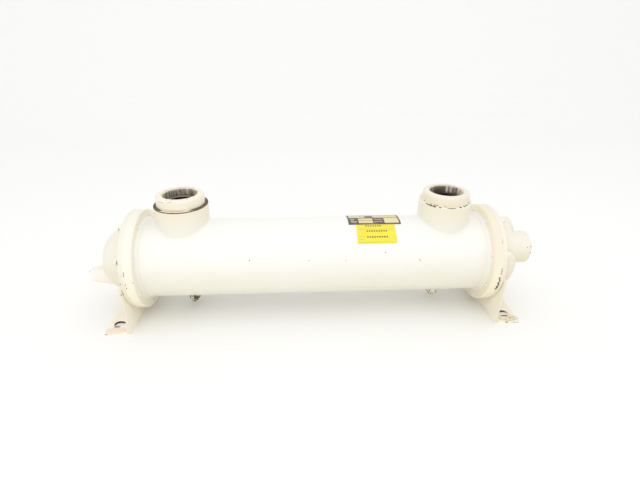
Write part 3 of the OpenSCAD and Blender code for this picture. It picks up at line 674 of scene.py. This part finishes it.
def bushing_finish(name, x, tones, wall, low_wall, ledge, mouth_reach, drips, marks, stain, tint):
    """Enamel outside and over the mouth's edge, and in the bore bare iron with rust run down it in upright streaks.
    wall are the streaks' places and colours across the bore, low_wall is the colour toward its bottom and ledge that
    of the ledge there, on the left a painted highlight where it catches the light; mouth_reach is how ragged the
    paint's edge is, in mm, and drips are spots where it ran down. Lowest in the bore the iron is painted near black,
    a painted shade."""
    low_z, deep_z = (304.0, 310.0), (301.2, 302.4)
    streak_rate = (0.016, 0.085, 0.0)  # with the noise's own 1.6 it gives streaks about 40 mm tall and 5 mm wide
    material, tree, place = new_material(name)
    where = round_nozzle(tree, place, x)
    torn = ragged(tree, place, where, 2.4, (3.0, 7.0, mouth_reach * 2.4))
    bare = within(tree, torn, BORE_R * MM + 1.4)
    over = flaked(tree, ragged(tree, place, where, 2.0, (3.6, 7.0, 0.0)), [((327.0, 0, 41), (4.4, 900, 9))] + drips)
    bare = add(tree, "Math", {"operation": "SUBTRACT", "use_clamp": True}, i0=bare, i1=over).outputs[0]
    bare = either(tree, bare, flaked(tree, ragged(tree, place, where, 1.6, (1.6, 3.0, 1.6)), marks))
    across = add(tree, "SeparateXYZ", i0=place).outputs[0]
    across = add(tree, "MapRange", Value=across, From_Min=x - BORE_R, From_Max=x + BORE_R).outputs[0]
    ramp = add(tree, "ValToRGB", i0=across)
    for position, colour in wall[1:-1]:
        ramp.color_ramp.elements.new(position)
    for element, (position, colour) in zip(ramp.color_ramp.elements, wall):
        element.position, element.color = position, linear(colour)
    down = add(tree, "Mapping", i0=where, i3=streak_rate).outputs[0]
    streak = add(tree, "TexNoise", Vector=down, Scale=1.6, Detail=4.0, Roughness=0.65).outputs[0]
    streak = add(tree, "MapRange", Value=streak, From_Min=0.34, From_Max=0.5).outputs[0]
    iron = add(tree, "Mix", RGBA, Factor=streak, i6=linear("#1D1510"), i7=ramp.outputs[0])
    z = add(tree, "SeparateXYZ", i0=where).outputs[0]
    low = add(tree, "MapRange", Value=z, From_Min=low_z[0], From_Max=low_z[1], **FALLING).outputs[0]
    iron = add(tree, "Mix", RGBA, Factor=low, i6=iron.outputs[2], i7=linear(low_wall))
    # The ledge at the thread's foot: on the left a painted highlight, on the right the wall's own dark colour.
    rest = flaked(tree, where, [(((RIM_Z - THREAD_L) * MM + 1.8, 0, 41), (1.0, 900, 3))])
    iron = add(tree, "Mix", RGBA, Factor=rest, i6=iron.outputs[2], i7=linear(ledge))
    # Lowest in the bore, below the ledge, the iron is painted near black: painted shade.
    deep = add(tree, "MapRange", Value=z, From_Min=deep_z[0], From_Max=deep_z[1], **FALLING).outputs[0]
    iron = add(tree, "Mix", RGBA, Factor=deep, i6=iron.outputs[2], i7=linear("#1A1410")).outputs[2]
    stain = flaked(tree, ragged(tree, place, where, 4.0, (0.8, 8.0, 0.0)), [stain])
    enamel_surface(tree, place, bare, tones, peel_mm=2.0, stains=[(stain, tint)], under=iron)
    return material


# Each mark: its angle from the front, its distance from the axis, its height, and half its width and height
TOP, EDGE = 326.0, 323.5
LEFT_RIM_MARKS = [((z, angle, radius), (depth, half, depth)) for angle, radius, z, half, depth in
                  ((-21.7, 52.6, TOP, 1.3, 1.0), (-7.6, 49.8, TOP, 1.6, 1.0), (11, 50.9, TOP, 1.3, 1.0),
                   (31.6, 51.6, TOP, 1.8, 1.0), (-84, 44.5, TOP, 4, 1.6), (107, 44, TOP, 3, 1.4),
                   (-166, 47, TOP, 3, 1.2), (35, 48, TOP, 3, 1.0), (66, 44.5, TOP, 4, 1.4),
                   (-60, 54, TOP, 1.6, 1.2), (-120, 46, TOP, 4, 1.2), (-144, 45.3, TOP, 3, 1.0),
                   (-68, 54, 325.8, 1.2, 1.0), (-34, 58.0, 321.6, 13, 0.45), (-10, 57.3, EDGE, 9, 0.45),
                   (150, 48, TOP, 2, 1.0))]
RIGHT_RIM_MARKS = [((z, angle, radius), (depth, half, depth)) for angle, radius, z, half, depth in
                   ((17, 57.2, EDGE, 1.6, 1.1), (54.5, 46.5, TOP, 3, 1.0), (64.5, 56.6, 324.3, 1.6, 1.0),
                    (98, 50, TOP, 2, 1.0), (55, 58.4, 307.7, 0.8, 2.4), (-70, 58.4, 318, 0.8, 2.0),
                    (-76, 58.4, 309, 1.0, 1.4), (76, 53, TOP, 2, 0.9), (-100, 55, 325, 1.2, 1.0))]
# Each bushing's third tone is painted light where it faces up
left_bushing = bushing_finish("enamelled_iron_bushing_left", -NOZZLE_X, ("#EFE8D2", "#EAE1C6", "#F4EEDC"),
                              ((0.0, "#B8BC96"), (0.04, "#5E5648"), (0.07, "#D8CCBC"), (0.095, "#3E342A"),
                               (0.12, "#CCBEB0"), (0.155, "#3A3028"), (0.185, "#D8CABC"), (0.21, "#40362E"),
                               (0.225, "#C4B6AA"), (0.275, "#3E342C"), (0.315, "#CDBEB6"), (0.38, "#A0948E"),
                               (0.465, "#A8A090"), (0.54, "#968E7A"), (0.61, "#E8DEC6"), (0.66, "#A89C80"),
                               (0.73, "#5E543C"), (0.8, "#8A7C60"), (0.87, "#D0C0A0"), (1.0, "#D8CCB0")),
                              "#7A6E5C", "#E8D8C6", 0.8,
                              [((322, 100, 41), (3.0, 10, 6)), ((322.5, -108, 41), (2.0, 8, 6))],
                              LEFT_RIM_MARKS, ((302, -2, 58.4), (2.6, 26, 3)), "#E2D0BA")
# On the right bushing the tinted spot is a ring all round the collar's foot: painted shade in the corner there. On the
# left it is a rust-pink tongue of stained paint.
right_bushing = bushing_finish("enamelled_iron_bushing_right", NOZZLE_X, ("#EBE3CC", "#E6DCC1", "#F1E9D6"),
                               ((0.0, "#C0B29E"), (0.09, "#A39688"), (0.145, "#6A5E50"), (0.22, "#B8AA9A"),
                                (0.27, "#42372B"), (0.45, "#4E3F2D"), (0.63, "#54432F"), (0.68, "#FFF2E4"),
                                (0.715, "#F4E2D4"), (0.745, "#4C4034"), (0.79, "#F8EADC"), (0.815, "#F0E2D4"),
                                (0.85, "#8A7E72"), (0.9, "#B0A492"), (0.93, "#6E6254"), (0.96, "#EFE6D2"),
                                (1.0, "#F4ECD8")), "#5C4C42", "#5C4C42", 0.25,
                               [((320, 88, 41), (3.4, 9, 6)), ((317, 112, 41), (3.0, 5, 6)),
                                ((322, -98, 41), (1.6, 8, 6))],
                               RIGHT_RIM_MARKS, ((303, 0, 58.4), (3.6, 700, 3)), "#E9E0C6")
for side, word, finish in ((-1, "left", left_bushing), (1, "right", right_bushing)):
    outline = threaded_bushing(side * NOZZLE_X)[:, ::-1]
    bushing = ring_piece("threaded_bushing_" + word, outline, finish)
    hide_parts("nozzle_bushing_" + word)

# Drains
# A half coupling is welded under the shell below each nozzle and closed with a square head plug. The paint on them
# has flaked off in big scabs, most of it on the left one.
drain_low, drain_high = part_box("drain_boss_right")
DRAIN_R = (drain_high[0] - drain_low[0]) / 2


def scabbed(name, bare_share, crack_mm):
    """Enamel on small fittings: off wherever a coarse noise is under bare_share, and cracked along the borders of
    cells crack_mm wide."""
    material, tree, place = new_material(name)
    scab = add(tree, "TexNoise", Vector=place, Scale=MM / 9.0, Detail=4.0, Roughness=0.65).outputs[0]
    scab = add(tree, "MapRange", Value=scab, From_Min=bare_share - 0.03, From_Max=bare_share, **FALLING).outputs[0]
    shaken = ragged(tree, place, place, 6.0, (0.012, 0.012, 0.012))
    border = add(tree, "TexVoronoi", {"feature": "DISTANCE_TO_EDGE"}, Vector=shaken, Scale=MM / crack_mm).outputs[0]
    border = add(tree, "MapRange", Value=border, From_Min=0.03, From_Max=0.07, **FALLING).outputs[0]
    scale = add(tree, "TexNoise", Vector=place, Scale=MM / 3.0, Detail=3.0).outputs[0]
    scale = add(tree, "Mix", RGBA, Factor=scale, i6=linear("#2E2C1C"), i7=linear("#7A755A")).outputs[2]
    enamel_surface(tree, place, either(tree, scab, border), THICK_ENAMEL, under=scale)
    return material


for side, word, share in ((-1, "left", 0.53), (1, "right", 0.36)):
    finish = scabbed("flaking_enamel_on_drain_" + word, share, 13.0)
    paint_node("drain_boss_" + word, finish)
    paint_node("drain_plug_" + word, finish)
    ring_piece("drain_weld_" + word, saddle_fillet(side * NOZZLE_X, -1, DRAIN_R, 0.005), finish)

# Nameplate
# A thin aluminium plate bent to the shell, on top between the nozzles, with a dark printed frame and printed fields,
# some of them with plain bars and dashes. The print has faded a little in patches.
PRINT_DARK, PRINT_PALE = "#57524A", "#EFE6C0"


def bent_slab(x0, x1, low, high, inner, outer):
    """A slab bent to the shell: the rectangle between two radii and two places along the shell, carried from one
    angle to the other, in millimetres and degrees."""
    steps = max(2, int((high - low) / 1.5) + 1)
    angle = np.radians(np.linspace(low, high, steps))[:, None]
    x = np.array([x0, x1, x1, x0])[None, :] / MM * np.ones_like(angle)
    radius = SHELL_R + np.array([inner, inner, outer, outer])[None, :] / MM
    points = np.stack([x, -radius * np.cos(angle), AXIS_Z + radius * np.sin(angle)], -1)
    return points.reshape(-1, 3), stack_faces(steps, 4, 1)


def printed_plate(name, slabs, material):
    """One piece of bent slabs, each of its own colour, which the point attribute ink carries."""
    points, faces, inks, start = [], [], [], 0
    for colour, *slab in slabs:
        corners, quads = bent_slab(*slab)
        points.append(corners)
        faces += [[k + start for k in quad] for quad in quads]
        inks.append(np.tile(linear(colour), (len(corners), 1)))
        start += len(corners)
    piece = mesh_piece(name, np.concatenate(points), faces, material, crease=30)
    ink = piece.data.color_attributes.new("ink", "FLOAT_COLOR", "POINT")
    ink.data.foreach_set("color", np.concatenate(inks).ravel())
    return piece


def printed_metal(name, roughness, metallic, fade):
    """Print on sheet metal: the colour of the attribute ink, faded a little in patches, with the sheet's rolled grain
    along the shell, which is drawn wider than it is so that it shows."""
    long_mm, wide_mm = 50 / 3, 10 / 9
    material, tree, place = new_material(name)
    ink = add(tree, "Attribute", {"attribute_name": "ink"}).outputs["Color"]
    cloud = add(tree, "TexNoise", Vector=place, Scale=MM / 14.0, Detail=4.0, Roughness=0.6).outputs[0]
    cloud = add(tree, "MapRange", Value=cloud, From_Min=0.4, From_Max=0.75, To_Max=0.2).outputs[0]
    worn = add(tree, "Mix", RGBA, Factor=cloud, i6=ink, i7=linear(fade))
    grain = add(tree, "Mapping", i0=place, i3=(MM / long_mm, MM / wide_mm, MM / wide_mm)).outputs[0]
    grain = add(tree, "TexNoise", Vector=grain, Scale=1.0, Detail=2.0, Roughness=0.5).outputs[0]
    shader = add(tree, "BsdfPrincipled", Base_Color=worn.outputs[2], Roughness=roughness, Metallic=metallic)
    finish_material(tree, shader, grain, 0.04)
    return material


plate_print = printed_metal("printed_aluminium_plate", 0.42, 0.15, "#D8D2B8")
# Each field: its colour, two places along the shell, two angles, and two heights over the shell, here by name
BASE, INK, RAISED, MARK = (-0.4, 0.9), (0.7, 1.05), (0.7, 1.3), (0.9, 1.15)
fields = [(PRINT_PALE, 84, 219, 74.2, 115, *BASE),
          (PRINT_DARK, 84, 219, 74, 77, *RAISED), (PRINT_DARK, 84, 219, 114, 115.4, *RAISED),
          (PRINT_DARK, 84, 88, 77, 114, *RAISED), (PRINT_DARK, 215, 219, 77, 114, *RAISED),
          (PRINT_DARK, 88, 148, 90.4, 93.0, *INK), (PRINT_DARK, 178, 215, 91.2, 92.8, *INK),
          ("#5A584A", 88, 111, 77, 90.4, *INK), ("#E8D8A6", 111, 148, 77, 90.4, *INK),
          ("#5C4448", 148, 178, 77, 93, *INK), ("#E9E0B6", 178, 215, 77, 91.2, *INK),
          ("#DAD8B0", 88, 130, 93, 101, *INK), ("#6E6A68", 130, 151, 93, 101, *INK),
          ("#DDD79A", 151, 215, 93, 101, *INK), ("#706C60", 116, 150, 101, 103.4, *INK),
          ("#D3D8A8", 88, 116, 101, 114, *INK), ("#CBD3A2", 116, 215, 103.4, 114, *INK),
          ("#E2DEB0", 150, 215, 101, 103.4, *INK), ("#8A7C5C", 111, 148, 83.3, 84.2, *MARK)]
fields += [("#F2EED2", 91, 101, 85.6, 87.2, *MARK), ("#F2EED2", 91, 106, 79.6, 81.2, *MARK),
           ("#D8C4C0", 152, 173, 85.8, 87.2, *MARK), ("#C8B4B0", 152, 173, 79.8, 81.2, *MARK)]
fields += [("#8C8A60", x, x + 3, 101.6, 102.8, *MARK) for x in range(154, 212, 5)]
printed_plate("nameplate", fields, plate_print)

# Yellow plate
# A thin aluminium plate in bright yellow enamel below the nameplate, bent to the shell. It carries plain printed rules
# and three rows of dashes.
yellow_print = printed_metal("yellow_enamel_on_aluminium", 0.38, 0.0, "#FFF27A")
SHEET, DASH, RULE = (-0.4, 0.7), (0.6, 0.78), (0.6, 0.76)
DASH_LONG, DASH_STEP, DASH_WIDE, RULE_WIDE = 3.4, 6.1, 2.5, 0.5
rules = [("#EFE23A", 102, 201.5, 41.5, 74.4, *SHEET)]
rules += [("#4E4818", x, min(x + DASH_LONG, x1), angle, angle + DASH_WIDE, *DASH)
          for x0, x1, angle in ((125.5, 168, 69.6), (127, 181, 60.0), (127, 179, 50.3))
          for x in np.arange(x0, x1, DASH_STEP)]
rules += [("#B8AC28", x0, x1, angle, angle + RULE_WIDE, *RULE) for x0, x1, angle in
          ((106, 197, 64.2), (106, 123, 52.2), (106, 120, 47.8), (106, 197, 43.4))]
printed_plate("yellow_plate", rules, yellow_print)

# Studio
# A pale floor that sweeps up into a backdrop, a wide soft lamp overhead, a smaller one low in front, and a pale world.
# Most of the light comes from all sides, so that shadows stay faint.


def stage_sheet():
    """The floor with its far edge swept up in a quarter round into a wall."""
    half_width, near, bend, bend_r, high = 6.0, -5.0, 2.0, 1.5, 6.0
    run = np.concatenate([[near], np.linspace(bend, bend + bend_r, 17), [bend + bend_r]])
    turn = np.clip((run - bend) / bend_r, 0, 1) * np.pi / 2
    y = np.where(run < bend, run, bend + bend_r * np.sin(turn))
    z = np.where(run < bend, 0.0, bend_r * (1 - np.cos(turn)))
    z[-1] = high
    points = np.stack([np.tile([-half_width, half_width], len(y)), np.repeat(y, 2), np.repeat(z, 2)], -1)
    k = np.arange(len(y) - 1) * 2
    return points, np.stack([k, k + 1, k + 3, k + 2], -1)


stage_material, tree, place = new_material("pale_studio_sweep")
mottle = add(tree, "TexNoise", Vector=place, Scale=MM / 500, Detail=2.0).outputs[0]
shader = add(tree, "BsdfPrincipled", Base_Color=linear("#FCFCFB"), Roughness=0.9)
finish_material(tree, shader, mottle, 0.05)
points, faces = stage_sheet()
mesh = bpy.data.meshes.new("studio_sweep")
mesh.from_pydata(points.tolist(), [], faces.tolist())
mesh.materials.append(stage_material)
sweep = bpy.data.objects.new("studio_sweep", mesh)
bpy.context.scene.collection.objects.link(sweep)

world = bpy.data.worlds.new("pale_world")
world.use_nodes = True
background = world.node_tree.nodes["Background"].inputs
background["Color"].default_value = linear("#FFFFFF")
background["Strength"].default_value = 0.95
bpy.context.scene.world = world


def soft_lamp(name, place, target, size, watts):
    """A square area lamp at one place, turned to face another."""
    lamp = bpy.data.lights.new(name, "AREA")
    lamp.size, lamp.energy = size, watts
    holder = bpy.data.objects.new(name, lamp)
    bpy.context.scene.collection.objects.link(holder)
    back = np.array(place) - np.array(target)
    back /= np.linalg.norm(back)
    across = np.cross((0, 0, 1), back)
    across /= np.linalg.norm(across)
    up = np.cross(back, across)
    holder.matrix_world = Matrix([[across[k], up[k], back[k], place[k]] for k in range(3)] + [[0, 0, 0, 1]])


soft_lamp("overhead_lamp", (0.3, -0.4, 2.6), (0, 0, 0.1), size=2.2, watts=8)
soft_lamp("front_lamp", (-0.7, -2.4, 0.62), (0, 0, 0.12), size=1.1, watts=6.5)

# Camera
# It stands a metre in front of the shell and looks down on its top. Its place, its turn and its lens come from a fit
# to the outlines in the photo, with angles in degrees and the focal length in pixels.
CAMERA_PLACE = (-0.04752, -0.97349, 0.67395)
YAW, PITCH, ROLL = (math.radians(v) for v in (3.540, 26.376, 0.517))
FOCAL_PIXELS, IMAGE_PIXELS, SENSOR_MM = 409.157, 640, 36.0
ahead = np.array([math.sin(YAW) * math.cos(PITCH), math.cos(YAW) * math.cos(PITCH), -math.sin(PITCH)])
level = np.array([math.cos(YAW), -math.sin(YAW), 0.0])
upward = np.cross(level, ahead)
right = math.cos(ROLL) * level + math.sin(ROLL) * upward
top = -math.sin(ROLL) * level + math.cos(ROLL) * upward
camera = bpy.data.cameras.new("camera")
camera.sensor_width = SENSOR_MM
camera.lens = SENSOR_MM * FOCAL_PIXELS / IMAGE_PIXELS
camera.clip_start = 0.01
holder = bpy.data.objects.new("camera", camera)
holder.matrix_world = Matrix([[right[k], top[k], -ahead[k], CAMERA_PLACE[k]] for k in range(3)] + [[0, 0, 0, 1]])
bpy.context.scene.collection.objects.link(holder)
bpy.context.scene.camera = holder
bpy.context.scene.view_settings.view_transform = "Standard"
